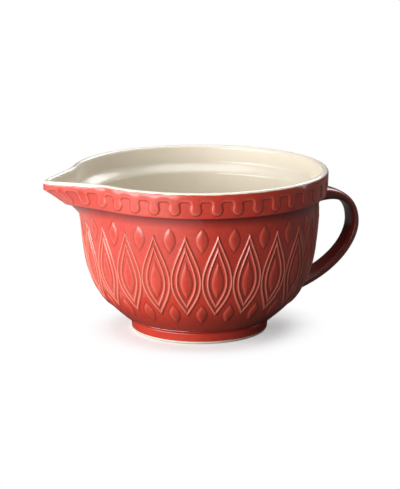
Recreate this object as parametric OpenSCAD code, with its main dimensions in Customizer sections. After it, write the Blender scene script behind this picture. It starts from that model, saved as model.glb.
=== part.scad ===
// Batter bowl: a deep cast stoneware mixing bowl with a heavy rim band, one pulled
// pouring spout, a strap handle opposite it and moulded relief all round.
// Origin on the table under the middle of the whole length, from spout tip to handle.
// +Z up, handle towards +X, spout towards -X.

/* [Bowl body] */
// Height of the bowl from the table to the crown of the rim
bowl_h = 140.1; // [124:0.1:163]
// Diameter of the rim across its outside
rim_d = 220; // [210:0.5:240]
// How far the rim band stands out past the body
overhang = 7.25; // [5:0.05:9]
// Diameter of the body where it rises from the foot ring
body_low_d = 124.8; // [120:0.2:140]
// Thickness of the cast wall
wall_t = 5.5; // [4:0.1:7]
// Thickness of the floor of the bowl
floor_t = 5.5; // [4:0.1:9]

/* [Rim band] */
// Height of the band from its ledge to the crown
band_h = 21.6; // [19:0.1:26]
// Thickness of the band from the lining to the outside
band_t = 5.6; // [5:0.1:7.5]
// How far the plain face of the band draws in towards the ledge
band_draft = 0.4; // [0:0.1:1.2]
// Radius that softens the ledge's lower edge
ledge_round = 1.2; // [0.6:0.1:2]
// Height over which the lining steps out from the wall to the band
step_h = 10; // [6:0.5:12]
// How far below the ledge the lining's step begins
step_drop = 3; // [2:0.5:6]

/* [Foot ring] */
// Diameter of the foot ring across its outside, where it meets the body
foot_d = 119; // [110:0.2:119.4]
// How far the outside of the foot ring draws in towards the table
foot_draft = 0.8; // [0:0.1:1.4]
// Height of the foot ring
foot_h = 10.7; // [8:0.1:13]
// Thickness of the foot ring
foot_t = 7.2; // [5:0.1:10]
// Radius on the outer edges of the foot ring
foot_round = 1.6; // [1:0.1:2]

/* [Pouring spout] */
// How far the tip of the spout stands out past the rim
spout_reach = 28.5; // [18:0.5:34]
// Half of the angle of rim that the spout takes up
spout_half_angle = 26; // [22:0.5:28]
// How far below the rounding of the crown the wall begins to swell into the spout
spout_depth = 42; // [36:0.5:44]
// How far below the rounding of the crown the spout is drawn out in full
spout_full_depth = 4.9; // [2:0.1:6]
// How far the wall right under the ledge swells out beyond the spout's own draw
spout_fill = 1.6; // [0:0.1:3]
// How far the tip of the spout dips below the crown
spout_dip = 1.5; // [1:0.1:4]

/* [Handle] */
// Distance from the bowl's axis to the outside of the handle
handle_reach = 148; // [141:0.5:156]
// Width of the handle's strap
handle_w = 22; // [17:0.5:26]
// Thickness of the handle's strap
handle_t = 6.8; // [5:0.1:8]
// How far the strap's middle springs below the ledge
handle_drop = 5.8; // [5:0.1:9]
// Height of the point where the handle stands out furthest
handle_mid_z = 83; // [78:0.5:91]
// Height of the middle of the handle's lower root
handle_low_z = 26.4; // [23:0.2:32]
// Extra depth of the upper root on its underside
root_depth = 9.5; // [6:0.5:14]
// Extra height of the upper root, which fills in under the ledge
root_rise = 0.5; // [0.2:0.1:2]
// Extra thickness of the lower root on each side
low_root_depth = 0.5; // [0.2:0.1:3]
// Extra width of the strap at its roots
root_width = 9; // [4:0.5:12]

/* [Rim meander] */
// Number of even pitches of the meander; three tongues share the two at the spout's tip
pitches = 40; // [36:2:44]
// Height of the raised relief of the rim
rim_relief = 0.9; // [0.5:0.1:1.4]
// Height of the plain raised strip above the tongues, up to the crown
strip_h = 7; // [6:0.1:8.5]
// Radius of the round end of a tongue
tongue_r = 4.1; // [3.4:0.1:4.6]
// Width of a tongue at its neck, under the arches' shoulders
neck_w = 6.9; // [6:0.1:7.4]
// Radius of the shoulders of the arches between the tongues
shoulder_r = 2.9; // [2.4:0.1:3.3]
// Height of a tongue from its tip to the top of the arches
tongue_h = 11.2; // [10.4:0.1:12]

/* [Ovals] */
// Number of pointed ovals round the body
ovals = 24; // [22:1:24]
// Turn of the ring of ovals away from the handle, in degrees
oval_turn = 2.6; // [0:0.1:7]
// Height of the outer ovals from tip to tip
oval_h = 67.5; // [60:0.5:70]
// Height of the inner ovals from tip to tip
inner_h = 51; // [44:0.5:53]
// Width of the inner ovals across their ridge lines
inner_w = 15.6; // [13:0.1:16.4]
// Drop of the inner ovals below the middle of the outer ones
inner_drop = 1; // [0:0.1:2]
// Height of the raised pads inside the ovals
pad_h = 32.6; // [28:0.1:35]
// Width of the raised pads inside the ovals
pad_w = 9.6; // [7:0.1:10.4]
// Drop of the raised pads below the middle of the outer ovals
pad_drop = 2.7; // [0:0.1:3.5]
// Width of the ridge lines
ridge_w = 2; // [1.4:0.1:2.2]
// Height of the ridge lines above the wall
ridge_h = 0.9; // [0.5:0.1:1.4]

/* [Leaves] */
// Gap between the upper leaves and the ledge
upper_leaf_gap = 8.8; // [6:0.1:12]
// Gap between the lower leaves and the foot ring
lower_leaf_gap = 12.8; // [10:0.1:15]
// Height of the leaves between the upper tips of the ovals
upper_leaf_h = 21; // [16:0.5:22]
// Width of the upper leaves
upper_leaf_w = 9.4; // [7:0.1:10.4]
// Height of the leaves between the lower tips of the ovals
lower_leaf_h = 19; // [14:0.5:20]
// Width of the lower leaves
lower_leaf_w = 8.6; // [6.5:0.1:9.2]
// Height of leaves and pads above the wall
leaf_relief = 1; // [0.5:0.1:1.4]

/* [Hidden] */

glaze = "#b5382f";
ridge_glaze = "#d0604f";
clay = "#e9e2d2";

rim_r = rim_d / 2;
// Radius of the body right under the rim band
body_top_r = rim_r - overhang;
body_low_r = body_low_d / 2;
foot_r = foot_d / 2;
// Height of the ledge, which is the underside of the band
ledge_z = bowl_h - band_h;
// Overrun of cutting shapes past the faces that they cut
overrun = 1;

// Shape of the belly: one cubic curve, leaving the foot outwards and upwards by the first
// pair of shares and reaching the band inwards and downwards by the second pair
flare_shares = [0.756, 0.236];
wall_shares = [0.079, 0.673];
belly_steps = 20;
band_face_r = rim_r - rim_relief;
band_low_r = band_face_r - band_draft;
crown_r = band_t / 2;
crown_z = bowl_h - crown_r;
lining_r = rim_r - band_t;
strip_z = bowl_h - strip_h;
crown_steps = 8;
round_steps = 3;
floor_z = foot_h + floor_t;
spout_z = crown_z - spout_depth;

function cubic(a, b, c, d, u) =
    pow(1 - u, 3) * a + 3 * pow(1 - u, 2) * u * b + 3 * (1 - u) * u * u * c + pow(u, 3) * d;
function cubic_way(a, b, c, d, u) =
    pow(1 - u, 2) * (b - a) + 2 * (1 - u) * u * (c - b) + u * u * (d - c);
function unit(v) = v / norm(v);
function blend(u) = let (k = min(1, max(0, u))) k * k * (3 - 2 * k);
function turned(r, a, z) = [r * cos(a), r * sin(a), z];

// Outer face of the body, as radius and height
belly = [
    [body_low_r, foot_h],
    [body_low_r + flare_shares[0] * (body_top_r - body_low_r), foot_h + flare_shares[1] * (ledge_z - foot_h)],
    [body_top_r - wall_shares[0] * (body_top_r - body_low_r), ledge_z - wall_shares[1] * (ledge_z - foot_h)],
    [body_top_r, ledge_z]
];
function belly_point(u) = cubic(belly[0], belly[1], belly[2], belly[3], u);
function belly_way(u) = unit(cubic_way(belly[0], belly[1], belly[2], belly[3], u));
function belly_lining(u) = let (w = belly_way(u)) belly_point(u) + wall_t * [-w[1], w[0]];
belly_outside = [for (i = [0 : belly_steps]) belly_point(i / belly_steps)];
belly_inside = [for (i = [0 : belly_steps]) belly_lining(i / belly_steps)];
outside_table = [for (p = belly_outside) [p[1], p[0]]];
inside_table = [for (p = belly_inside) [p[1], p[0]]];
// Radius of the outer face and of the lining at a height
function body_r(z) = lookup(z, outside_table);
function step_share(z) = blend((z - ledge_z + step_drop) / step_h);
function inside_r(z) = let (k = step_share(z)) (1 - k) * lookup(z, inside_table) + k * lining_r;
function band_r(z) = band_low_r + band_draft * (z - ledge_z) / (strip_z - ledge_z);

// The lining from a height up to the start of the crown
step_rows = 6;
function lining_points(low_z) = concat(
    [[inside_r(low_z), low_z]],
    [for (p = belly_inside) if (p[1] > low_z && p[1] < ledge_z - step_drop) p],
    [for (i = [0 : step_rows]) let (z = ledge_z - step_drop + step_h * i / step_rows)
        if (z > low_z) [inside_r(z), z]],
    [[lining_r, crown_z]]);

// The band's outside from the ledge up and over the crown
band_points = concat(
    [for (i = [0 : round_steps]) let (a = -90 + 90 * i / round_steps)
        [band_low_r - ledge_round + ledge_round * cos(a), ledge_z + ledge_round + ledge_round * sin(a)]],
    [[band_face_r, strip_z], [rim_r, strip_z]],
    [for (i = [0 : crown_steps - 1]) let (a = 180 * i / crown_steps)
        [rim_r - crown_r + crown_r * cos(a), crown_z + crown_r * sin(a)]]);

function flipped(list) = [for (i = [len(list) - 1 : -1 : 0]) list[i]];
function part_above(list, z) = [for (p = list) if (p[1] > z) p];
function part_below(list, z) = [for (p = list) if (p[1] < z) p];

// How far the wall is drawn out into the spout, and how far it dips, at an angle and height
tip_round_share = 0.05;
spread_power = 1.87;
fill_spread_share = 8;
function off_spout(a) = let (d = abs(a % 360)) min(abs(d - 180), 180);
function spout_share(a) = let (
        s = min(1, off_spout(a) / spout_half_angle),
        full = sqrt(1 + tip_round_share * tip_round_share) - tip_round_share,
        k = (sqrt(s * s + tip_round_share * tip_round_share) - tip_round_share) / full)
    pow(1 - min(1, k), spread_power);
function draw_share(z) = pow(min(1, max(0, (z - spout_z) / (spout_depth - spout_full_depth))), 2);
function dip_share(z) = blend((z - spout_z) / (ledge_z - spout_z));
// The wall's extra swelling grows up to the ledge and fades out over the lining's step
function fill_share(r, z) = r > (body_top_r + band_low_r) / 2 ? 0
    : max(0, min((z - spout_z) / (ledge_z - spout_z), 1 - (z - ledge_z) / (step_h - step_drop)));
function skin(r, a, z) = let (
        share = spout_share(a),
        fill = spout_fill * min(1, fill_spread_share * share) * fill_share(r, z))
    turned(r + spout_reach * share * draw_share(z) + fill, a, z - spout_dip * share * dip_share(z));

// The bowl's axis lies off the origin, so that the whole length is centred on it
axis_x = (rim_r + spout_reach - handle_reach) / 2;
module on_axis() {
    translate([axis_x, 0, 0])
        children();
}

// Triangles over rows of points, each row closed on itself, from row 0 to the last
function quad(a, b, c, d) = [[a, b, c], [a, c, d]];
function side_faces(rows, cols, last) = [
    for (i = [0 : last - 1], j = [0 : cols - 1])
        let (n = (i + 1) % rows, k = (j + 1) % cols)
        each quad(i * cols + j, i * cols + k, n * cols + k, n * cols + j)];
function end_faces(first, cols) = [for (j = [1 : cols - 2]) [first, first + j + 1, first + j]];
function tube_faces(rows, cols) = concat(
    side_faces(rows, cols, rows - 1),
    end_faces(0, cols),
    [for (f = end_faces((rows - 1) * cols, cols)) [f[0], f[2], f[1]]]);

// Wall: the revolved body, with the sector that the spout takes cut out of its top
module bowl_wall() {
    color(glaze)
    on_axis()
    difference() {
        rotate_extrude()
            polygon(concat(
                [[0, foot_h]],
                belly_outside,
                [[inside_r(ledge_z), ledge_z]],
                flipped(part_below(lining_points(floor_z), ledge_z)),
                [[0, floor_z]]));
        rotate([0, 0, 180 - spout_half_angle])
            rotate_extrude(angle = 2 * spout_half_angle)
                translate([body_low_r, spout_z])
                    square([rim_r - body_low_r, ledge_z + overrun - spout_z]);
    }
}

// Band: the thick rolled rim, open where the spout joins it
module rim_band() {
    color(glaze)
    on_axis()
    rotate([0, 0, spout_half_angle - 180])
        rotate_extrude(angle = 360 - 2 * spout_half_angle)
            polygon(concat(
                [[inside_r(ledge_z), ledge_z]],
                band_points,
                flipped(part_above(lining_points(ledge_z), ledge_z))));
}

// Spout: the missing sector of wall and band, drawn out to a tip with a pinched channel.
// Its section is the wall's own, in rows close enough to bend with the swelling.
spout_steps = 24;
tip_crowding_share = 1.5;
spout_row_h = 5;
function finer(list, longest) = [
    for (i = [0 : len(list) - 2])
        let (way = list[i + 1] - list[i], n = ceil(norm(way) / longest))
        for (k = [0 : n - 1]) list[i] + way * k / n,
    list[len(list) - 1]];
spout_loop = finer(concat(
    [[body_r(spout_z), spout_z]],
    part_above(belly_outside, spout_z),
    band_points,
    flipped(lining_points(spout_z))), spout_row_h);
function spout_angle(i) = let (x = 2 * i / spout_steps - 1)
    180 + spout_half_angle * sign(x) * pow(abs(x), tip_crowding_share);
module pouring_spout() {
    color(glaze)
    on_axis()
    polyhedron(
        points = [for (i = [0 : spout_steps], p = spout_loop) skin(p[0], spout_angle(i), p[1])],
        faces = tube_faces(spout_steps + 1, len(spout_loop)));
}

// Foot: a turned ring with rounded edges, bare clay where it stands
foot_inner_r = foot_r - foot_t;
foot_inner_round_share = 0.7;
neck_round_share = 0.6;
function arc(r, z, radius, from, to) = [
    for (i = [0 : round_steps]) let (a = from + (to - from) * i / round_steps)
        [r + radius * cos(a), z + radius * sin(a)]];
module foot_ring() {
    inner_round = foot_inner_round_share * foot_round;
    neck_round = neck_round_share * foot_round;
    color(clay)
    on_axis()
    rotate_extrude()
        polygon(concat(
            arc(foot_r - foot_draft - foot_round, foot_round, foot_round, -90, 0),
            arc(foot_r - neck_round, foot_h - neck_round, neck_round, 0, 90),
            [[foot_inner_r, foot_h]],
            arc(foot_inner_r + inner_round, inner_round, inner_round, 180, 270)));
}

// Handle: a pulled strap, its middle line two cubic curves that meet where it stands out
// furthest, thicker and wider where its ends are pressed on to the bowl
handle_steps = 22;
strap_sides = 12;
strap_square_share = 0.69;
top_shares = [0.61, 0.053];
mid_rise_share = 0.664;
mid_fall_share = 0.31;
low_shares = [0.28, 0.197];
root_run_share = 0.38;
mid_x = handle_reach - handle_t / 2;
top_x = body_top_r - wall_t;
low_x = body_r(handle_low_z) - wall_t;
top_z = ledge_z - handle_drop;
top_run = [
    [top_x, top_z],
    [top_x + (mid_x - top_x) * (1 - top_shares[0] / 2), top_z + (top_z - handle_mid_z) * top_shares[1]],
    [mid_x, handle_mid_z + (top_z - handle_mid_z) * mid_rise_share],
    [mid_x, handle_mid_z]];
low_run = [
    [mid_x, handle_mid_z],
    [mid_x, handle_mid_z - (handle_mid_z - handle_low_z) * mid_fall_share],
    [mid_x - (mid_x - low_x) * low_shares[0], handle_low_z + (handle_mid_z - handle_low_z) * low_shares[1]],
    [low_x, handle_low_z]];
function strap_mid(u) = u < 0.5
    ? cubic(top_run[0], top_run[1], top_run[2], top_run[3], 2 * u)
    : cubic(low_run[0], low_run[1], low_run[2], low_run[3], 2 * u - 1);
function strap_way(u) = unit(u < 0.5
    ? cubic_way(top_run[0], top_run[1], top_run[2], top_run[3], 2 * u)
    : cubic_way(low_run[0], low_run[1], low_run[2], low_run[3], 2 * u - 1));
function top_root(u) = pow(max(0, 1 - u / root_run_share), 2);
function low_root(u) = pow(max(0, 1 - (1 - u) / root_run_share), 2);
function squared(v) = sign(v) * pow(abs(v), strap_square_share);
function strap_point(u, a) = let (
        m = strap_mid(u),
        w = strap_way(u),
        s = squared(sin(a)),
        half_w = handle_w / 2 + root_width / 2 * (top_root(u) + low_root(u)),
        over = handle_t / 2 + root_rise * top_root(u) + low_root_depth * low_root(u),
        under = handle_t / 2 + root_depth * top_root(u) + low_root_depth * low_root(u),
        off = s * (s > 0 ? over : under))
    [m[0] - w[1] * off, half_w * squared(cos(a)), m[1] + w[0] * off];
module strap() {
    polyhedron(
        points = [for (i = [0 : handle_steps], j = [0 : strap_sides - 1])
            strap_point(i / handle_steps, -360 * j / strap_sides)],
        faces = tube_faces(handle_steps + 1, strap_sides));
}
module strap_handle() {
    color(glaze)
    on_axis()
    difference() {
        strap();
        rotate_extrude()
            polygon(concat(
                [[0, foot_h]],
                belly_outside,
                part_below(band_points, crown_z),
                [[0, strip_z]]));
    }
}

// Raised figures that the roots of the handle are pressed over end at the strap
root_half_angle = (handle_w + root_width) / 2 / low_x * 180 / PI;
module beside_strap(at, half_angle) {
    if (min(at % 360, 360 - at % 360) < root_half_angle + half_angle)
        difference() {
            children();
            strap();
        }
    else
        children();
}

// Meander: raised tongues with round ends that hang from the rim's strip, between arches
// with a flat top and round shoulders. They are drawn out with the spout.
function angle_of(length, r) = length / r * 180 / PI;
// Gap that keeps each raised figure clear of the next
relief_gap = 0.15;
half_pitch = 180 / pitches;
tongue_z = strip_z - tongue_h + tongue_r;
shoulder_x = neck_w / 2 + shoulder_r;
// Rise from the middle of a tongue's round end to that of the shoulder beside it, and the
// turn at which the straight neck leaves the one round and reaches the other
shoulder_rise = tongue_h - tongue_r - shoulder_r;
lean = atan2(shoulder_rise, shoulder_x)
    - acos(min(1, (tongue_r + shoulder_r) / norm([shoulder_x, shoulder_rise])));
function outline(x, z) = [angle_of(x, band_face_r), z];
tongue_rows = concat(
    [for (a = [-75, -46, -18, lean]) outline(tongue_r * cos(a), tongue_z + tongue_r * sin(a))],
    [for (a = [180 + lean, 160, 132, 108])
        outline(shoulder_x + shoulder_r * cos(a), strip_z - shoulder_r + shoulder_r * sin(a))],
    [[half_pitch - angle_of(relief_gap, band_face_r), strip_z]]);
// On the spout, where the face bends, a tongue has more columns across it
plain_shares = [-1, 1];
bent_shares = [-1, -0.5, 0, 0.5, 1];
function tongue_row(at, width_share, q, shares) = let (half = width_share * q[0]) concat(
    [for (c = flipped(shares)) skin(band_r(q[1]) + rim_relief, at + c * half, q[1])],
    [for (c = shares) skin(band_r(q[1]), at + c * half, q[1])]);
function tongue_end(first, n) = [
    for (i = [0 : n - 2]) each quad(first + i, first + 2 * n - 1 - i, first + 2 * n - 2 - i, first + i + 1)];
module tongue(at, width_share, shares) {
    n = len(shares);
    rows = len(tongue_rows);
    polyhedron(
        points = [for (q = tongue_rows) each tongue_row(at, width_share, q, shares)],
        faces = concat(
            side_faces(rows, 2 * n, rows - 1),
            tongue_end(0, n),
            [for (f = tongue_end((rows - 1) * 2 * n, n)) flipped(f)]));
}
// Three tongues share the two pitches next to the tip, so that they stay about as wide as
// the others where the rim is drawn out: one on the tip and one on each side of it
tip_width_share = 0.71;
beside_width_share = (2 - tip_width_share) / 2;
beside_tip = half_pitch * (tip_width_share + beside_width_share);
module rim_meander() {
    color(glaze)
    on_axis() {
        tongue(180, tip_width_share, bent_shares);
        for (side = [-1, 1])
            tongue(180 + side * beside_tip, beside_width_share, bent_shares);
        for (k = [0 : pitches - 1]) {
            at = (2 * k + 1) * half_pitch;
            if (off_spout(at) > 2 * half_pitch)
                tongue(at, 1, off_spout(at) < spout_half_angle ? bent_shares : plain_shares);
        }
    }
}

// Pointed ovals: the half width at a share of the way from the middle to a tip. The ovals
// and their pads are fullest a little below the middle, the leaves at the middle.
oval_place_share = 0.529;
fullness_share = 1.1;
oval_fullest_share = 0.145;
leaf_fullest_share = 0;
tip_run_share = 1.1;
oval_z = foot_h + oval_place_share * (ledge_z - foot_h);
oval_pitch = 360 / ovals;
function oval_half(share, fullest) = let (moved = share + fullest * (1 - pow(share, 2)))
    pow(max(0, cos(90 * moved)), fullness_share);
function on_body(at, half_angle, half_h, mid_z, side, share, height, fullest) =
    let (z = mid_z + half_h * share)
    skin(body_r(z) + height, at + side * half_angle * oval_half(share, fullest), z);

// A ridge line of triangular section that runs round a pointed oval
module ridge_oval(at, half_angle, half_h, mid_z, steps) {
    foot = angle_of(ridge_w / 2, body_r(mid_z));
    tip = tip_run_share * ridge_w;
    fullest = oval_fullest_share;
    polyhedron(
        points = [for (k = [0 : steps - 1]) let (
                rising = k < steps / 2,
                share = rising ? 4 * k / steps - 1 : 3 - 4 * k / steps,
                side = rising ? 1 : -1)
            each [
                on_body(at, half_angle + foot, half_h + tip, mid_z, side, share, 0, fullest),
                on_body(at, half_angle, half_h, mid_z, side, share, ridge_h, fullest),
                on_body(at, half_angle - foot, half_h - tip, mid_z, side, share, 0, fullest)]],
        faces = side_faces(steps, 3, steps));
}

module outer_ovals() {
    half_angle = oval_pitch / 2 - angle_of(ridge_w / 2 + relief_gap, body_r(oval_z));
    color(ridge_glaze)
    on_axis()
    for (k = [0 : ovals - 1]) {
        at = oval_turn + k * oval_pitch;
        beside_strap(at, oval_pitch / 2)
            ridge_oval(at, half_angle, oval_h / 2, oval_z, 24);
    }
}

module inner_ovals() {
    half_angle = angle_of(inner_w / 2, body_r(oval_z));
    color(ridge_glaze)
    on_axis()
    for (k = [0 : ovals - 1]) {
        at = oval_turn + k * oval_pitch;
        beside_strap(at, half_angle)
            ridge_oval(at, half_angle, inner_h / 2, oval_z - inner_drop, 18);
    }
}

// A leaf: a pointed oval with a softly domed face, its shoulders drawn in from its edge. Its
// flat back stands a little off the wall at the edge, so that it clears the round of the wall.
shoulder_share = 0.6;
leaf_seat_share = 0.12;
leaf_steps = 6;
module leaf(at, half_w, half_h, mid_z, fullest) {
    half_angle = angle_of(half_w, body_r(mid_z));
    seat = leaf_seat_share * leaf_relief;
    last = 4 * (leaf_steps - 1);
    polyhedron(
        points = concat(
            [for (i = [1 : leaf_steps - 1]) let (share = 2 * i / leaf_steps - 1) each [
                on_body(at, half_angle, half_h, mid_z, 1, share, seat, fullest),
                on_body(at, half_angle * shoulder_share, half_h, mid_z, 1, share, leaf_relief, fullest),
                on_body(at, half_angle * shoulder_share, half_h, mid_z, -1, share, leaf_relief, fullest),
                on_body(at, half_angle, half_h, mid_z, -1, share, seat, fullest)]],
            [on_body(at, half_angle, half_h, mid_z, 1, -1, seat, fullest),
                on_body(at, half_angle, half_h, mid_z, 1, 1, seat, fullest)]),
        faces = concat(
            side_faces(leaf_steps - 1, 4, leaf_steps - 2),
            [for (j = [0 : 3]) [last, (j + 1) % 4, j]],
            [for (j = [0 : 3]) [last + 1, last - 4 + j, last - 4 + (j + 1) % 4]]));
}

// A ring of leaves, one in each pitch of the ovals, from a share of a pitch onwards
module leaf_ring(first_share, width, height, mid_z, fullest) {
    color(glaze)
    on_axis()
    for (k = [0 : ovals - 1]) {
        at = oval_turn + (k + first_share) * oval_pitch;
        beside_strap(at, angle_of(width / 2, body_r(mid_z)))
            leaf(at, width / 2, height / 2, mid_z, fullest);
    }
}
between_share = 0.5;

module oval_pads() {
    leaf_ring(0, pad_w, pad_h, oval_z - pad_drop, oval_fullest_share);
}

module upper_leaves() {
    mid_z = ledge_z - upper_leaf_gap - upper_leaf_h / 2;
    leaf_ring(between_share, upper_leaf_w, upper_leaf_h, mid_z, leaf_fullest_share);
}

module lower_leaves() {
    mid_z = foot_h + lower_leaf_gap + lower_leaf_h / 2;
    leaf_ring(between_share, lower_leaf_w, lower_leaf_h, mid_z, leaf_fullest_share);
}

bowl_wall();
rim_band();
pouring_spout();
foot_ring();
strap_handle();
rim_meander();
outer_ovals();
inner_ovals();
oval_pads();
upper_leaves();
lower_leaves();
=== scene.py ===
import math

import bmesh
import bpy
import numpy as np
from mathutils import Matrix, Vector
from mathutils.geometry import interpolate_bezier


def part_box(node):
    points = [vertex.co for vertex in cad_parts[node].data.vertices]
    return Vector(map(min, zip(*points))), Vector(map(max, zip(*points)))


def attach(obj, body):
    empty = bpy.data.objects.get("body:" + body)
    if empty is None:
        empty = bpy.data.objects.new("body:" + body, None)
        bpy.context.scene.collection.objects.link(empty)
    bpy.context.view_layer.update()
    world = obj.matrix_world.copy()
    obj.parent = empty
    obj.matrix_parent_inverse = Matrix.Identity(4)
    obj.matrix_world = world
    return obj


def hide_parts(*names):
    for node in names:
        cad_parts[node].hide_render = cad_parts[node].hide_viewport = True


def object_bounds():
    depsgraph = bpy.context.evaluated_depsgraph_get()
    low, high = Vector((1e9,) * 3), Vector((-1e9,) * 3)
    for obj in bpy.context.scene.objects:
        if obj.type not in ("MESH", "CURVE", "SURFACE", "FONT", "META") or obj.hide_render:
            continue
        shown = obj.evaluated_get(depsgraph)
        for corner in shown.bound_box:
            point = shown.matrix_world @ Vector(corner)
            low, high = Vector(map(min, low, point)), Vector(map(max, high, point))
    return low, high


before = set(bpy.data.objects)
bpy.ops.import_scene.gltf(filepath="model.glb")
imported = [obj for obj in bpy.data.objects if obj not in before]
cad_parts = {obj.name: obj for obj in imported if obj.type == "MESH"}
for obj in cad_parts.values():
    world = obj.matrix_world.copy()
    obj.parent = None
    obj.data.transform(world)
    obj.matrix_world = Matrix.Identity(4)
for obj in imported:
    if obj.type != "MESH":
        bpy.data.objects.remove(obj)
cad_low, cad_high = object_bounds()

# The view. The bowl is seen from well back and a little to the spout's side, from somewhat
# above the rim, through a long lens. The values were fitted to the circles of rim and foot.
mm = 0.001
foot_low, foot_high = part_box("foot_ring")
axis_x = (foot_low.x + foot_high.x) / 2
view_azimuth = math.radians(-21)
view_pitch = math.radians(13.41)
view_distance = 1577.4 * mm
view_height = 448.5 * mm
picture_height = 489
picture_centre = 200
axis_pixel = 199.49
focal_pixels = 1882.17
sensor_width = 36


def direction(turn, rise=0):
    """The way from the bowl's axis to a place, by its turn from the front and its rise."""
    return Vector((math.sin(turn) * math.cos(rise), -math.cos(turn) * math.cos(rise), math.sin(rise)))


camera_data = bpy.data.cameras.new("camera")
camera_data.sensor_width = sensor_width
camera_data.lens = focal_pixels / picture_height * sensor_width
camera_data.shift_x = (picture_centre - axis_pixel) / picture_height
camera = bpy.data.objects.new("camera", camera_data)
camera.location = Vector((axis_x, 0, view_height)) + view_distance * direction(view_azimuth)
camera.rotation_euler = (math.pi / 2 - view_pitch, 0, view_azimuth)
bpy.context.scene.collection.objects.link(camera)
bpy.context.scene.camera = camera

# Pale matt table: it shows white to the camera and keeps the soft shadow, but throws back
# only as much light as a dark card, so that the glaze isn't washed out from below.
table_reach = 6
table_gap = 0.1 * mm
shadow_reach = 62 * mm
white_reach = 110 * mm
shadow_lift = 0.4


def linear(hex_colour):
    """An sRGB hex colour as the linear colour that a shader takes."""
    channels = [int(hex_colour[i : i + 2], 16) / 255 for i in (1, 3, 5)]
    return tuple(c / 12.92 if c <= 0.04045 else ((c + 0.055) / 1.055) ** 2.4 for c in channels) + (1,)


def add(tree, kind, inputs=None, **settings):
    """Adds a shader node, with its settings, and with a value or a link for each input named."""
    made = tree.nodes.new("ShaderNode" + kind)
    for name, value in settings.items():
        setattr(made, name, value)
    for socket, value in (inputs or {}).items():
        if isinstance(value, bpy.types.NodeSocket):
            tree.links.new(value, made.inputs[socket])
        else:
            made.inputs[socket].default_value = value
    return made


def blank(name):
    """A material with an empty node tree and its output node."""
    material = bpy.data.materials.new(name)
    material.use_nodes = True
    material.node_tree.nodes.clear()
    return material, material.node_tree, add(material.node_tree, "OutputMaterial")


def finished(made, name, material):
    """A scene object from a bmesh, smooth shaded but for its sharp corners, with one material."""
    sharp_from = math.radians(50)
    mesh = bpy.data.meshes.new(name)
    made.to_mesh(mesh)
    made.free()
    for face in mesh.polygons:
        face.use_smooth = True
    mesh.set_sharp_from_angle(angle=sharp_from)
    mesh.materials.append(material)
    piece = bpy.data.objects.new(name, mesh)
    bpy.context.scene.collection.objects.link(piece)
    return piece


pale_table, tree, output = blank("pale_matt_table")
seen_by_camera = add(tree, "LightPath").outputs["Is Camera Ray"]
dark_card = add(tree, "BsdfDiffuse", {"Color": linear("#62615f")})
white_card = add(tree, "BsdfDiffuse", {"Color": linear("#e6e8e7")})
lift = add(tree, "Emission", {"Color": linear("#ffffff"), "Strength": shadow_lift})
near_card = add(tree, "AddShader", {0: white_card.outputs[0], 1: lift.outputs[0]})
far_card = add(tree, "Emission", {"Color": linear("#ffffff"), "Strength": 1})
place = add(tree, "TexCoord").outputs["Object"]
from_bowl = add(tree, "VectorMath", {0: place}, operation="LENGTH").outputs["Value"]
reach = {0: from_bowl, 1: shadow_reach, 2: white_reach, 3: 0, 4: 1}
far = add(tree, "MapRange", reach, interpolation_type="SMOOTHSTEP").outputs[0]
shown_card = add(tree, "MixShader", {0: far, 1: near_card.outputs[0], 2: far_card.outputs[0]})
card = add(tree, "MixShader", {0: seen_by_camera, 1: dark_card.outputs[0], 2: shown_card.outputs[0]})
tree.links.new(card.outputs[0], output.inputs["Surface"])
bm = bmesh.new()
bmesh.ops.create_grid(bm, x_segments=1, y_segments=1, size=table_reach)
bmesh.ops.translate(bm, verts=bm.verts, vec=(0, 0, -table_gap))
finished(bm, "table", pale_table)

# Studio light: a broad panel low to the left of the camera, a weak one overhead, one behind
# the bowl that shines into it, and a faint upright strip far round on the right. The camera
# sees the dark room as plain white.
room_strength = 0.02
panel_distance = 1.2
bowl_middle = Vector((axis_x, 0, cad_high.z / 2))
world = bpy.data.worlds.new("studio")
world.use_nodes = True
tree = world.node_tree
tree.nodes.clear()
seen_by_camera = add(tree, "LightPath").outputs["Is Camera Ray"]
room = add(tree, "Background", {"Color": linear("#f4f5f7"), "Strength": room_strength})
white = add(tree, "Background", {"Color": linear("#ffffff"), "Strength": 1})
both = add(tree, "MixShader", {0: seen_by_camera, 1: room.outputs[0], 2: white.outputs[0]})
tree.links.new(both.outputs[0], add(tree, "OutputWorld").inputs["Surface"])
bpy.context.scene.world = world


def soft_light(name, place, way, width, height, watts):
    """A soft light at a place, which shines against the given way."""
    data = bpy.data.lights.new(name, "AREA")
    data.shape = "RECTANGLE"
    data.size = width
    data.size_y = height
    data.energy = watts
    lamp = bpy.data.objects.new(name, data)
    lamp.location = place
    lamp.rotation_euler = way.to_track_quat("Z", "Y").to_euler()
    lamp.visible_camera = False
    bpy.context.scene.collection.objects.link(lamp)


def panel(name, azimuth, elevation, width, height, watts):
    """A soft light that faces the middle of the bowl, by its angle left of the camera."""
    way = direction(view_azimuth - math.radians(azimuth), math.radians(elevation))
    soft_light(name, bowl_middle + panel_distance * way, way, width, height, watts)


panel("key_panel", azimuth=49, elevation=9, width=1.4, height=0.6, watts=26)
panel("top_panel", azimuth=0, elevation=88, width=1.2, height=1.0, watts=10)
panel("back_panel", azimuth=-155, elevation=38, width=0.8, height=0.6, watts=7)
panel("right_strip", azimuth=-100, elevation=16, width=0.09, height=0.9, watts=1.2)

# The lit side of the table, which glows softly in the lower left of the glaze
glow_turn = view_azimuth - math.radians(68)
glow_reach = 0.46
glow_place = Vector((axis_x, 0, 3 * mm)) + glow_reach * direction(glow_turn)
soft_light("table_bounce", glow_place, Vector((0, 0, -1)), width=0.7, height=0.7, watts=0.85)

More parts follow.
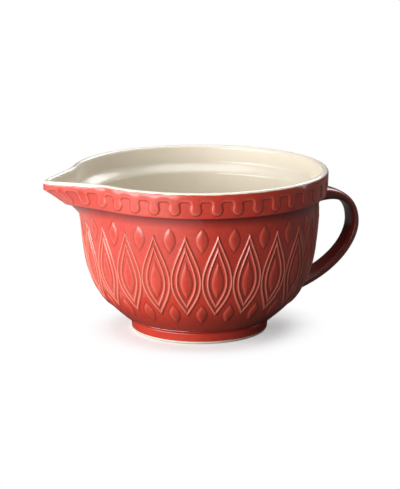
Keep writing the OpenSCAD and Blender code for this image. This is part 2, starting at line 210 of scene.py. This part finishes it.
# Slip-cast stoneware body: wall, rim band and spout come out of one mould, so they are one
# skin here. Red glaze outside, cream glaze inside; the colours meet on top of the rim.
band_low, band_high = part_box("rim_band")
bowl_h = band_high.z
rim_r = band_high.y
ledge_z = band_low.z
foot_h = foot_high.z
overhang = 7.25 * mm
body_top_r = rim_r - overhang
body_low_r = 62.4 * mm
wall_t = 5.5 * mm
floor_t = 5.5 * mm
floor_z = foot_h + floor_t
relief = 0.9 * mm
band_t = 5.6 * mm
band_draft = 0.4 * mm
band_face_r = rim_r - relief
band_low_r = band_face_r - band_draft
strip_h = 7 * mm
strip_z = bowl_h - strip_h
crown_r = band_t / 2
crown_z = bowl_h - crown_r
lining_r = rim_r - band_t
step_drop = 3 * mm
step_h = 10 * mm
step_low_z = ledge_z - step_drop


def smooth(share):
    """Eases a share from 0 to 1, level at both ends."""
    k = min(1, max(0, share))
    return k * k * (3 - 2 * k)


def curve(handles, count):
    """Points along one cubic curve, from its ends and handles as radius and height."""
    return [p.xy for p in interpolate_bezier(*[Vector((r, z, 0)) for r, z in handles], count)]


# The belly is one curve: it leaves the foot outwards and upwards by the first pair of shares
# and reaches the band inwards and downwards by the second. The lining is the wall's thickness
# behind it.
flare_shares = (0.756, 0.236)
wall_shares = (0.079, 0.673)
belly_points = 240
belly_h = ledge_z - foot_h
swell_r = body_top_r - body_low_r
belly_handles = [
    (body_low_r, foot_h),
    (body_low_r + flare_shares[0] * swell_r, foot_h + flare_shares[1] * belly_h),
    (body_top_r - wall_shares[0] * swell_r, ledge_z - wall_shares[1] * belly_h),
    (body_top_r, ledge_z),
]
belly = np.array(curve(belly_handles, belly_points))
belly_way = np.gradient(belly, axis=0)
belly_way /= np.linalg.norm(belly_way, axis=1)[:, None]
belly_out = np.stack([belly_way[:, 1], -belly_way[:, 0]], axis=1)
lining = belly - wall_t * belly_out


def body_r(z):
    """Radius of the outer face of the body at a height."""
    return float(np.interp(z, belly[:, 1], belly[:, 0]))


def body_out(z):
    """Outward direction of the body's face at a height, as radius and height."""
    return [float(np.interp(z, belly[:, 1], belly_out[:, i])) for i in (0, 1)]


def lining_at(z):
    """Radius of the lining at a height, with the rounded step under the rim."""
    k = smooth((z - step_low_z) / step_h)
    return (1 - k) * float(np.interp(z, lining[:, 1], lining[:, 0])) + k * lining_r


def band_r(z):
    """Radius of the plain face of the rim band at a height."""
    return band_low_r + (band_face_r - band_low_r) * min(1, (z - ledge_z) / (strip_z - ledge_z))


spout_half = math.radians(26)
spout_reach = -cad_low.x + axis_x - rim_r
spout_depth = 42 * mm
spout_full_depth = 4.9 * mm
spout_fill = 1.6 * mm
spout_dip = 1.5 * mm
spout_z = crown_z - spout_depth
tip_round = 0.05
spread_power = 1.87
fill_spread = 8


def off_spout(angle):
    """How far an angle is from the tip of the spout, as a share of half the spout."""
    return abs(math.remainder(angle - math.pi, 2 * math.pi)) / spout_half


def drawn_out(r, angle, z):
    """The place of a point of the bowl once the spout is pulled: out and a little down, with
    the wall under the ledge swelling out a little further."""
    full = math.hypot(1, tip_round) - tip_round
    k = (math.hypot(min(1, off_spout(angle)), tip_round) - tip_round) / full
    pull = (1 - min(1, k)) ** spread_power
    out = spout_reach * pull * min(1, max(0, (z - spout_z) / (spout_depth - spout_full_depth))) ** 2
    if r < (body_top_r + band_low_r) / 2:
        swell = min((z - spout_z) / (ledge_z - spout_z), 1 - (z - ledge_z) / (step_h - step_drop))
        out += spout_fill * min(1, fill_spread * pull) * max(0, swell)
    down = spout_dip * pull * smooth((z - spout_z) / (ledge_z - spout_z))
    return Vector((axis_x + (r + out) * math.cos(angle), (r + out) * math.sin(angle), z - down))


def arc(centre_r, centre_z, radius, start, end, steps):
    """Points of a round in the bowl's section, by its start and end in degrees."""
    turns = np.radians(np.linspace(start, end, steps + 1))
    return [(centre_r + radius * math.cos(a), centre_z + radius * math.sin(a)) for a in turns]


# The section, from the middle of the base outwards, over the rim and back to the middle of
# the floor. Each point carries how cream it is and how deep its red is painted: pooled glaze, and painted
# shade low on the belly and under the ledge.
base_rings = (0, 25 * mm, 48 * mm)
bead_r = 1.15 * mm
bead_inset = 0.5 * mm
foot_pool_and_shade_fade = 3 * mm
belly_skip = 5
corner_r = 1.1 * mm
corner_points = 10
ledge_round = 1.2 * mm
ledge_steps = 6
band_row_start = 2 * mm
band_rows = 12
strip_bevel = [(band_face_r, crown_z - 2.4 * mm), (rim_r - 0.3 * mm, crown_z - 0.9 * mm)]
crown_steps = 24
glaze_line = 30
blend_width = 4 * mm
step_row_start = 2 * mm
step_rows = 22
lining_skip = 6
floor_corner_z = floor_z + 3 * mm
floor_corner_r = lining_at(floor_corner_z)
floor_corner = [(floor_corner_r - 1.6 * mm, floor_z + 1.2 * mm, 0.4), (floor_corner_r - 5 * mm, floor_z, 0.3)]
floor_rings = (40 * mm, 20 * mm, 0)

section = [(r, foot_h, 0, 0) for r in base_rings]
# Pooled glaze and painted shade: the bead and the belly just above the foot are darkened, most at the foot.
bead = arc(body_low_r - bead_inset, foot_h + bead_r, bead_r, -85, 45, steps=9)
section += [(r, z, 0, 0.5) for r, z in bead]
wall = [(r, z) for r, z in belly[:-corner_points] if z > foot_h + 2 * bead_r]
section += [(r, z, 0, math.exp((foot_h - z) / foot_pool_and_shade_fade)) for r, z in wall[::belly_skip]]
# Painted shade: the corner under the ledge and the ledge's round take the deep red, for the shadow under the
# band.
corner = arc(body_top_r + corner_r, ledge_z - corner_r, corner_r, 180, 90, steps=4)
section += [(r, z, 0, 1) for r, z in corner]
ledge = arc(band_low_r - ledge_round, ledge_z + ledge_round, ledge_round, -90, 0, ledge_steps)
section += [(r, z, 0, 1 - i / ledge_steps) for i, (r, z) in enumerate(ledge)]
section += [(band_r(z), z, 0, 0) for z in np.linspace(ledge_z + band_row_start, strip_z, band_rows)]
section += [(r, z, 0, 0) for r, z in strip_bevel]
for i, (r, z) in enumerate(arc(rim_r - crown_r, crown_z, crown_r, 0, 180, crown_steps)):
    past_line = crown_r * math.radians(i * 180 / crown_steps - glaze_line)
    section.append((r, z, min(1, max(0, 0.5 + past_line / blend_width)), 0))
step = np.linspace(crown_z - step_row_start, step_low_z, step_rows)
section += [(lining_at(z), z, 1, 0) for z in step]
low_lining = [(r, z) for r, z in lining[::-1] if floor_corner_z < z < step_low_z]
section += [(r, z, 1, 0) for r, z in low_lining[::lining_skip]]
section += [(r, z, 1, pool_and_shade) for r, z, pool_and_shade in floor_corner]
section += [(r, floor_z, 1, 0) for r in floor_rings]


def closed(made, reach=0.002 * mm):
    """Merges the doubles of a mesh and turns its faces outwards."""
    bmesh.ops.remove_doubles(made, verts=made.verts, dist=reach)
    bmesh.ops.recalc_face_normals(made, faces=made.faces)


def spun(points, layers, sweeps, start=0):
    """Turns a section about the upright axis, by an angle and steps for each sweep. Each layer
    is named for a value that the points carry."""
    made = bmesh.new()
    kept = [made.verts.layers.float.new(name) for name in layers]
    row = []
    for r, z, *values in points:
        row.append(made.verts.new((r * math.cos(start), r * math.sin(start), z)))
        for layer, value in zip(kept, values):
            row[-1][layer] = value
    line = row + [made.edges.new(pair) for pair in zip(row, row[1:])]
    for angle, steps in sweeps:
        bmesh.ops.spin(made, geom=line, cent=(0, 0, 0), axis=(0, 0, 1), angle=angle, steps=steps)
    closed(made)
    return made


# The spout has finer steps than the rest of the round. On its lip the cream comes further out.
lip_cream = 0.3
lip_fade = 0.35
lip_depth = 0.5 * mm
spout_steps = 110
round_steps = 300
round_sweeps = [(2 * spout_half, spout_steps), (2 * spout_half - 2 * math.pi, round_steps)]
bm = spun(section, ["cream", "pool_and_shade"], round_sweeps, start=math.pi - spout_half)
cream = bm.verts.layers.float["cream"]
for vert in bm.verts:
    r, angle, z = math.hypot(vert.co.x, vert.co.y), math.atan2(vert.co.y, vert.co.x), vert.co.z
    vert.co = drawn_out(r, angle, z)
    if z > crown_z - lip_depth and r > rim_r - crown_r:
        vert[cream] = min(1, vert[cream] + lip_cream * smooth((1 - off_spout(angle)) / lip_fade))

drift_size = 38 * mm
mottle_size = 3.5 * mm
ripple_size = 7 * mm
ripple_depth = 0.06 * mm


def red_glaze(name):
    """Red gloss glaze over white stoneware: deep red where glaze pools in hollows and where shade is painted
    in, salmon where it runs thin over crests, faintly mottled, with the slow ripple of a dipped glaze."""
    material, tree, output = blank(name)
    place = add(tree, "TexCoord").outputs["Object"]
    drift = add(tree, "TexNoise", {"Vector": place, "Scale": 1 / drift_size, "Detail": 2})
    mottle = add(tree, "TexNoise", {"Vector": place, "Scale": 1 / mottle_size, "Detail": 3})
    uneven = add(tree, "Math", {0: drift.outputs[0], 1: mottle.outputs[0]}, operation="ADD")
    share = add(tree, "MapRange", {0: uneven.outputs[0], 1: 0.75, 2: 1.25, 3: 0, 4: 1}).outputs[0]
    reds = {0: share, 6: linear("#bf392b"), 7: linear("#cc4331")}
    red = add(tree, "Mix", reds, data_type="RGBA").outputs[2]
    # Pooled glaze and painted shade: the marked places are darkened towards a deep red.
    pool_and_shade = add(tree, "Attribute", attribute_name="pool_and_shade").outputs["Fac"]
    deep_pool_and_shade = add(tree, "Mix", {0: pool_and_shade, 6: red, 7: linear("#6a1512")}, data_type="RGBA").outputs[2]
    thin = add(tree, "Attribute", attribute_name="thin").outputs["Fac"]
    broken = add(tree, "Mix", {0: thin, 6: deep_pool_and_shade, 7: linear("#dd8470")}, data_type="RGBA").outputs[2]
    ripple = add(tree, "TexNoise", {"Vector": place, "Scale": 1 / ripple_size, "Detail": 1})
    bump = add(tree, "Bump", {"Height": ripple.outputs[0], "Distance": ripple_depth, "Strength": 0.6})
    finish = {
        "Base Color": broken,
        "Roughness": 0.33,
        "IOR": 1.52,
        "Coat Weight": 0.6,
        "Coat Roughness": 0.13,
        "Normal": bump.outputs[0],
    }
    gloss = add(tree, "BsdfPrincipled", finish)
    tree.links.new(gloss.outputs[0], output.inputs["Surface"])
    return material, tree, broken, gloss


# Two glazes on one piece: the cream liner is poured in first and the outside is dipped up to
# it, so the line between them wavers and is a little darker where one runs over the other.
waver_size = 11 * mm
cream_mottle_size = 14 * mm
two_glazes, tree, red_colour, gloss = red_glaze("red_and_cream_gloss_glaze")
place = add(tree, "TexCoord").outputs["Object"]
waver = add(tree, "TexNoise", {"Vector": place, "Scale": 1 / waver_size, "Detail": 2})
cream_share = add(tree, "Attribute", attribute_name="cream").outputs["Fac"]
moved = add(tree, "MapRange", {0: waver.outputs[0], 1: 0.25, 2: 0.75, 3: -0.1, 4: 0.1}).outputs[0]
edge = add(tree, "Math", {0: cream_share, 1: moved}, operation="ADD").outputs[0]
cream_mottle = add(tree, "TexNoise", {"Vector": place, "Scale": 1 / cream_mottle_size, "Detail": 2})
creams = {0: cream_mottle.outputs[0], 6: linear("#e3dac8"), 7: linear("#e9e1d2")}
cream_colour = add(tree, "Mix", creams, data_type="RGBA").outputs[2]
lapped = add(tree, "MapRange", {0: edge, 1: 0.3, 2: 0.47, 3: 0, 4: 0.6}).outputs[0]
lap = add(tree, "Mix", {0: lapped, 6: red_colour, 7: linear("#8c3326")}, data_type="RGBA").outputs[2]
covered = add(tree, "MapRange", {0: edge, 1: 0.44, 2: 0.56, 3: 0, 4: 1}).outputs[0]
skin_colour = add(tree, "Mix", {0: covered, 6: lap, 7: cream_colour}, data_type="RGBA")
tree.links.new(skin_colour.outputs[2], gloss.inputs["Base Color"])

casting = finished(bm, "glazed_casting", two_glazes)
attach(casting, "root")
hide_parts("bowl_wall", "rim_band", "pouring_spout")

# Foot ring: cast with the body and turned true on the wheel, dipped and then wiped, so that a
# thin line of bare cream clay shows where it stands. A groove parts it from the body.
foot_r = (foot_high.x - foot_low.x) / 2
foot_t = 7.2 * mm
foot_inner_r = foot_r - foot_t
foot_draft = 0.8 * mm
foot_round = 1.6 * mm
inner_round = 1.1 * mm
shoulder_round = 1.3 * mm
groove = 0.7 * mm
groove_w = 2.4 * mm
groove_end = 3 * mm
# Pooled glaze and painted shade darken the groove under the body.
groove_pool_and_shade = 0.8
groove_pool_and_shade_h = 1.2 * mm
bare_h = 1.5 * mm
foot_lap = 0.2 * mm
foot_steps = 240
shoulder_z = foot_h - groove - shoulder_round
foot_face_h = foot_h - shoulder_round - foot_round
foot_section = arc(foot_inner_r + inner_round, inner_round, inner_round, 180, 270, steps=6)
foot_section += arc(foot_r - foot_draft - foot_round, foot_round, foot_round, -90, 0, steps=10)
foot_section += [
    (foot_r - foot_draft * (1 - k), foot_round + k * foot_face_h) for k in (0.2, 0.4, 0.6, 0.8)
]
foot_section += arc(foot_r - shoulder_round, shoulder_z, shoulder_round, 0, 85, steps=8)
foot_section += [(foot_r - groove_w, foot_h - groove), (foot_r - groove_end, foot_h + foot_lap)]
foot_section += [(foot_inner_r, foot_h + foot_lap), (foot_inner_r, foot_h / 2), foot_section[0]]


def foot_values(z):
    """How bare of glaze the foot is at a height, and how deep its red is painted there, for pooled glaze and
    painted shade in the groove.
    """
    return max(0, min(1, 1 - (z - bare_h) / mm)), groove_pool_and_shade * smooth((z - foot_h + groove_pool_and_shade_h) / mm)


foot_points = [(r, z, *foot_values(z)) for r, z in foot_section]
bm = spun(foot_points, ["bare", "pool_and_shade"], [(2 * math.pi, foot_steps)])
bmesh.ops.translate(bm, verts=bm.verts, vec=(axis_x, 0, 0))

# Red gloss wiped off the foot: the bare stoneware is pale, fine grained and quite dull.
grit_size = 1.2 * mm
foot_glaze, tree, red_colour, gloss = red_glaze("red_gloss_glaze_with_bare_foot")
place = add(tree, "TexCoord").outputs["Object"]
grit = add(tree, "TexNoise", {"Vector": place, "Scale": 1 / grit_size, "Detail": 4})
clays = {0: grit.outputs[0], 6: linear("#d9cdb8"), 7: linear("#efe7d8")}
clay = add(tree, "Mix", clays, data_type="RGBA").outputs[2]
bare = add(tree, "Attribute", attribute_name="bare").outputs["Fac"]
wiped = add(tree, "MapRange", {0: bare, 1: 0.35, 2: 0.65, 3: 0, 4: 1}).outputs[0]
foot_colour = add(tree, "Mix", {0: wiped, 6: red_colour, 7: clay}, data_type="RGBA")
foot_rough = add(tree, "MapRange", {0: wiped, 1: 0, 2: 1, 3: 0.33, 4: 0.75})
tree.links.new(foot_colour.outputs[2], gloss.inputs["Base Color"])
tree.links.new(foot_rough.outputs[0], gloss.inputs["Roughness"])
gloss.inputs["Coat Weight"].default_value = 0.25
foot = finished(bm, "turned_foot_ring", foot_glaze)
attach(foot, "root")
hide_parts("foot_ring")

# Strap handle: a pulled strap of clay, bent round and luted on under the band and low on
# the belly, its ends thumbed out on to the wall. Its faces are painted deep red all over, painted
# shade for the bowl's shadow that it lies in, and the glaze breaks a little along its edges.
handle_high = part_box("strap_handle")[1]
handle_t = 6.8 * mm
handle_w = 22 * mm
handle_drop = 5.8 * mm
mid_r = handle_high.x - axis_x - handle_t / 2
mid_z = 83 * mm
low_z = 26.4 * mm
top_z = ledge_z - handle_drop
top_r = body_top_r - wall_t
low_r = body_r(low_z) - wall_t
spring_shares = (0.695, 0.053)
shoulder_share = 0.664
drop_share = 0.31
return_shares = (0.28, 0.197)
upper_bend = [
    (top_r, top_z),
    (top_r + spring_shares[0] * (mid_r - top_r), top_z + spring_shares[1] * (top_z - mid_z)),
    (mid_r, mid_z + shoulder_share * (top_z - mid_z)),
    (mid_r, mid_z),
]
lower_bend = [
    (mid_r, mid_z),
    (mid_r, mid_z - drop_share * (mid_z - low_z)),
    (mid_r - return_shares[0] * (mid_r - low_r), low_z + return_shares[1] * (mid_z - low_z)),
    (low_r, low_z),
]
bend_points = 50
run = curve(upper_bend, bend_points) + curve(lower_bend, bend_points)[1:]
strap_sides = 40
corner_share = 0.69
root_run = 0.38
root_rise = 0.5 * mm
root_depth = 9.5 * mm
low_root_depth = 0.5 * mm
root_width = 9 * mm
root_grip = 3 * mm
lining_cover = 1.5 * mm
thumbed = 1.4 * mm
thumbed_reach = 5 * mm
edge_thinness = 0.3


def squared(value):
    """Turns a circle's sine or cosine into that of a rounded rectangle."""
    return math.copysign(abs(value) ** corner_share, value)


def strap_ring(i):
    """The places of one section of the strap, from its middle line."""
    u = i / (len(run) - 1)
    way = (run[min(i + 1, len(run) - 1)] - run[max(i - 1, 0)]).normalized()
    top = max(0, 1 - u / root_run) ** 2
    low = max(0, 1 - (1 - u) / root_run) ** 2
    places = []
    for j in range(strap_sides):
        a = 2 * math.pi * j / strap_sides
        over = squared(math.sin(a))
        thick = handle_t / 2 + low_root_depth * low + (root_rise if over > 0 else root_depth) * top
        wide = (handle_w + root_width * (top + low)) / 2 * squared(math.cos(a))
        r = run[i].x - way.y * over * thick
        z = run[i].y + way.x * over * thick
        wall = body_r(min(z, ledge_z))
        near = max(0, 1 - max(0, math.hypot(r, wide) - wall) / thumbed_reach) ** 2
        r -= way.y * over * thumbed * near
        z += way.x * over * thumbed * near
        wide += math.copysign(thumbed * near, wide) * abs(squared(math.cos(a)))
        sunk_r = max(wall - root_grip, lining_at(z) + lining_cover)
        if math.hypot(r, wide) < sunk_r:
            r = math.sqrt(sunk_r**2 - wide**2)
        places.append(Vector((axis_x + r, wide, z)))
    return places


def next_row(made, verts, edges):
    """Extrudes a row of vertices and edges once, and gives the new row in the same order."""
    grown = bmesh.ops.extrude_edge_only(made, edges=edges)["geom"]
    new = set(grown)
    after = {v: e.other_vert(v) for v in verts for e in v.link_edges if e.other_vert(v) in new}
    new_verts = [after[v] for v in verts]
    ends = set(new_verts)
    return new_verts, [g for g in grown if isinstance(g, bmesh.types.BMEdge) and set(g.verts) <= ends]


bm = bmesh.new()
thin, pool_and_shade = [bm.verts.layers.float.new(name) for name in ("thin", "pool_and_shade")]
verts = bmesh.ops.create_circle(bm, segments=strap_sides, radius=handle_t)["verts"]
edges = bm.edges[:]
for i in range(len(run)):
    if i:
        verts, edges = next_row(bm, verts, edges)
    for j, (vert, place) in enumerate(zip(verts, strap_ring(i))):
        vert.co = place
        vert[thin] = edge_thinness * abs(math.cos(2 * math.pi * j / strap_sides)) ** 6
        # Painted shade: every point of the strap takes the full deep red.
        vert[pool_and_shade] = 1
bmesh.ops.holes_fill(bm, edges=bm.edges, sides=strap_sides)
bmesh.ops.recalc_face_normals(bm, faces=bm.faces)

# Red gloss alone: painted shade makes the strap deep red all over but for its edges.
gloss_red = red_glaze("red_gloss_glaze")[0]
handle = finished(bm, "pulled_strap_handle", gloss_red)
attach(handle, "root")
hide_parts("strap_handle")

# Rim meander: part of the mould. A raised strip under the crown with forty-one round-ended
# tongues hanging from it, and a round-shouldered arch sunk between each two. Round the tip
# of the spout three narrower tongues share the room of two.
pitches = 40
tongue_r = 4.1 * mm
tongue_h = 11.2 * mm
neck_w = 6.9 * mm
shoulder_r = 2.9 * mm
bulb_points = 14
arch_points = 10
flat_points = 3
tongue_z = strip_z - tongue_h + tongue_r
half_pitch = math.pi * rim_r / pitches
shoulder = Vector((neck_w / 2 + shoulder_r, strip_z - shoulder_r))
across = shoulder - Vector((0, tongue_z))
lean = math.atan2(across.y, across.x) - math.acos((tongue_r + shoulder_r) / across.length)


def meander_edge(outwards):
    """Half of one tongue's outline and half an arch, moved outwards by a distance."""
    bulb_r = tongue_r + outwards
    arch_r = shoulder_r - outwards
    bulb = [Vector((math.cos(a) * bulb_r, math.sin(a) * bulb_r + tongue_z))
            for a in np.linspace(-math.pi / 2, lean, bulb_points)]
    arch = [shoulder + arch_r * Vector((math.cos(a), math.sin(a)))
            for a in np.linspace(lean + math.pi, math.pi / 2, arch_points)]
    flat = [Vector((x, strip_z - outwards))
            for x in np.linspace(shoulder.x, half_pitch, flat_points + 1)[1:]]
    return bulb + arch + flat


# Each row of the raised edge: distance outwards from the outline and height over the band,
# in millimetres, then how thin the glaze runs and how deep its red is painted, for pooled glaze and painted
# shade at the foot of the edge
edge_rows = [
    (1.7, -0.4, 0, 0), (1.4, 0.0, 0, 0.1), (1.05, 0.03, 0, 0.3), (0.75, 0.07, 0, 0.6),
    (0.45, 0.16, 0, 0.45), (0.15, 0.34, 0.05, 0.1), (-0.2, 0.52, 0.2, 0), (-0.65, 0.68, 0.3, 0),
    (-1.2, 0.8, 0.2, 0), (-1.9, 0.87, 0.05, 0), (-2.6, 0.9, 0, 0),
]
face_top = crown_z - 0.4 * mm
back_top = crown_z + 0.6 * mm
back_depth = 1.2 * mm
back_steps = 8
crown_spread = 1.3
tuck_rise = 1.1 * mm
tuck_r = crown_r - 0.06 * mm
tuck_height = relief - crown_r + math.sqrt(tuck_r**2 - tuck_rise**2)

# The face rises from the innermost row to the crown, is tucked under the crown's round and
# closes behind the band.
outer_edge, inner_edge = [meander_edge(edge_rows[i][0] * mm) for i in (0, -1)]
spread = [half_pitch * (i / (len(inner_edge) - 1)) ** crown_spread for i in range(len(inner_edge))]
top_edge, tuck_edge, back_edge = [
    [Vector((x, z)) for x in spread] for z in (face_top, crown_z + tuck_rise, back_top)
]
rows = [(meander_edge(out * mm), height * mm, *values) for out, height, *values in edge_rows]
for k in (0.25, 0.5, 0.75, 1):
    rows.append(([a.lerp(b, k) for a, b in zip(inner_edge, top_edge)], relief, 0, 0))
rows.append((tuck_edge, tuck_height, 0, 0))
for k in range(back_steps + 1):
    rows.append(([a.lerp(b, k / back_steps) for a, b in zip(back_edge, outer_edge)], -back_depth, 0, 0))
rows.append((outer_edge, edge_rows[0][1] * mm, 0, 0))

bm = bmesh.new()
layers = [bm.verts.layers.float.new(name) for name in ("thin", "pool_and_shade")]
verts = [bm.verts.new((p.x, 0, p.y)) for p in inner_edge]
edges = [bm.edges.new(pair) for pair in zip(verts, verts[1:])]
for i, (places, height, *values) in enumerate(rows):
    if i:
        verts, edges = next_row(bm, verts, edges)
    for vert, place in zip(verts, places):
        vert.co = (place.x, height, place.y)
        for layer, value in zip(layers, values):
            vert[layer] = value
bmesh.ops.mirror(bm, geom=bm.verts[:] + bm.edges[:] + bm.faces[:], axis="X", merge_dist=0.002 * mm)


def copies(made, count):
    """Repeats a whole mesh within itself, and gives each copy's vertices, the first one's too."""
    whole = made.verts[:] + made.edges[:] + made.faces[:]
    groups = [made.verts[:]]
    for _ in range(count - 1):
        copied = bmesh.ops.duplicate(made, geom=whole)["geom"]
        groups.append([g for g in copied if isinstance(g, bmesh.types.BMVert)])
    return groups


# Each tongue's place round the rim, with its width as a share of an even pitch
half_turn = math.pi / pitches
tip_width = 0.71
beside_width = (2 - tip_width) / 2
beside = half_turn * (tip_width + beside_width)
tongues = [(math.pi - beside, beside_width), (math.pi + beside, beside_width), (math.pi, tip_width)]
tongues += [(i * half_turn, 1) for i in range(1, 2 * pitches, 2) if abs(i - pitches) > 2]
for (middle, width), group in zip(tongues, copies(bm, len(tongues))):
    for vert in group:
        angle = middle + width * half_turn * vert.co.x / half_pitch
        vert.co = drawn_out(band_r(vert.co.z) + vert.co.y, angle, vert.co.z)
closed(bm, reach=0.01 * mm)
meander = finished(bm, "raised_rim_meander", gloss_red)
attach(meander, "root")
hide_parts("rim_meander")

# Outer ovals: ridge lines of the mould that run round the belly as pointed ovals, almost
# touching at the waist. The glaze runs off their crests, which show salmon.
ovals = 24
oval_turn = math.radians(2.6)
oval_h = 67.5 * mm
oval_rise_share = 0.529
oval_z = foot_h + oval_rise_share * belly_h
oval_gap = 1.9 * mm
oval_w = 2 * math.pi * body_r(oval_z) / ovals - oval_gap
oval_fullest = 0.145
hub_room = 2 * mm
point_power = 1.1
point_lift = 0.3
# How many times longer a ridge's section is at the points of an oval than at its waist
point_run = 2.2

# Thin red gloss: the coat on the relief is thin too, so that crests show salmon, not sparkles.
thin_red, _, _, gloss = red_glaze("thin_red_glaze_over_relief")
gloss.inputs["Coat Weight"].default_value = 0.25


def raised_ovals(name, node, profile, width, height, middle_z, steps, first=0, fullest=0, fade=0):
    """A ring of pointed ovals: a section spun to a ring, drawn out to a point at both ends
    and laid on the belly. The section's places are millimetres outwards and upwards. First is
    the turn of the first oval in pitches, fullest is how far below its middle an oval is widest,
    and fade is how far from its points it starts to sink to the wall; both are shares of half
    its height."""
    half_w, half_h = width / 2, height / 2
    hub = half_w + hub_room
    template = [(hub + out * mm, up * mm, *values) for out, up, *values in profile]
    bm = spun(template, ["thin", "pool_and_shade"], [(2 * math.pi, steps)])
    for k, group in enumerate(copies(bm, ovals)):
        for vert in group:
            turn = math.atan2(vert.co.y, vert.co.x)
            out = math.hypot(vert.co.x, vert.co.y) - hub
            share = 2 * math.asin(math.sin(turn)) / math.pi
            side = math.copysign(1, math.cos(turn))
            moved = share + fullest * (1 - share**2)
            wide = max(0, half_w + out) * max(0, math.cos(moved * math.pi / 2)) ** point_power
            z = middle_z + (half_h + point_run * out) * share
            lift = vert.co.z
            if lift > 0 and fade:
                from_point = (half_h - abs(z - middle_z)) / (fade * half_h)
                lift *= smooth(point_lift + (1 - point_lift) * from_point)
            normal = body_out(z)
            angle = oval_turn + (k + first) * 2 * math.pi / ovals + side * wide / body_r(middle_z)
            vert.co = drawn_out(body_r(z) + lift * normal[0], angle, z + lift * normal[1])
    closed(bm)
    made = finished(bm, name, thin_red)
    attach(made, "root")
    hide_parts(node)


# One side of the ridge line's section, then the whole of it, its back sunk in the wall. Each
# point: millimetres outwards and upwards, how thin the glaze runs and how deep its red is painted, for pooled
# glaze and painted shade at the ridge's foot
ridge_side = [
    (2.2, -0.06, 0, 0), (1.75, 0.03, 0, 0.1), (1.35, 0.08, 0, 0.3), (1.0, 0.22, 0.1, 0.2),
    (0.65, 0.5, 0.5, 0), (0.32, 0.77, 0.9, 0),
]
ridge = [(-out, *rest) for out, *rest in ridge_side] + [(0, 0.88, 1, 0)] + ridge_side[::-1]
ridge += [(1.2, -0.6, 0, 0), (-1.2, -0.6, 0, 0), ridge[0]]
raised_ovals(
    "outer_oval_ridges", "outer_ovals", ridge, oval_w, oval_h, oval_z, steps=96, fullest=oval_fullest
)

# Inner ovals: a second ridge line of the mould within each of the first, a little lower on
# the belly, cut with the same tool and under the same glaze.
inner_w = 15.6 * mm
inner_h = 51 * mm
inner_drop = 1 * mm
inner_z = oval_z - inner_drop
raised_ovals(
    "inner_oval_ridges", "inner_ovals", ridge, inner_w, inner_h, inner_z, steps=80, fullest=oval_fullest
)

# Oval pads: the leaf-shaped kernel in the middle of each pair of ovals, low and softly
# domed, with a firm edge where the glaze thins.
pad_w = 9.6 * mm
pad_h = 32.6 * mm
pad_drop = 2.7 * mm
pad_z = oval_z - pad_drop


def button(width):
    """The section of a raised pad, from its middle to its foot and back underneath."""
    half = width / mm / 2
    top = [(-half, 1.0, 0, 0), (-half * 0.75, 0.97, 0, 0), (-half * 0.5, 0.88, 0.05, 0)]
    # The rows at the foot of the edge darken the red, pooled glaze and painted shade.
    edge = [
        (-1.5, 0.73, 0.15, 0), (-1.0, 0.58, 0.25, 0), (-0.55, 0.42, 0.25, 0), (-0.15, 0.26, 0.1, 0.1),
        (0.25, 0.12, 0, 0.4), (0.8, 0.04, 0, 0.4), (1.5, -0.06, 0, 0),
    ]
    return top + edge + [(0.6, -0.6, 0, 0), (-half, -0.6, 0, 0)]


raised_ovals(
    "raised_oval_pads", "oval_pads", button(pad_w), pad_w, pad_h, pad_z,
    steps=64, fullest=oval_fullest, fade=0.18,
)

# Upper leaves: small raised pads of the mould in the gaps between the ovals' upper points,
# domed like the kernels, their points sinking to the wall.
upper_w = 9.4 * mm
upper_h = 21 * mm
upper_gap = 8.8 * mm
upper_z = ledge_z - upper_gap - upper_h / 2
leaf_fade = 0.45
raised_ovals(
    "upper_leaf_pads", "upper_leaves", button(upper_w), upper_w, upper_h, upper_z,
    steps=56, first=0.5, fade=leaf_fade,
)

# Lower leaves: the same again between the ovals' lower points, smaller, because the belly is
# narrower there.
lower_w = 8.6 * mm
lower_h = 19 * mm
lower_gap = 12.8 * mm
lower_z = foot_h + lower_gap + lower_h / 2
raised_ovals(
    "lower_leaf_pads", "lower_leaves", button(lower_w), lower_w, lower_h, lower_z,
    steps=56, first=0.5, fade=leaf_fade,
)

bpy.context.scene.view_settings.view_transform = "Standard"
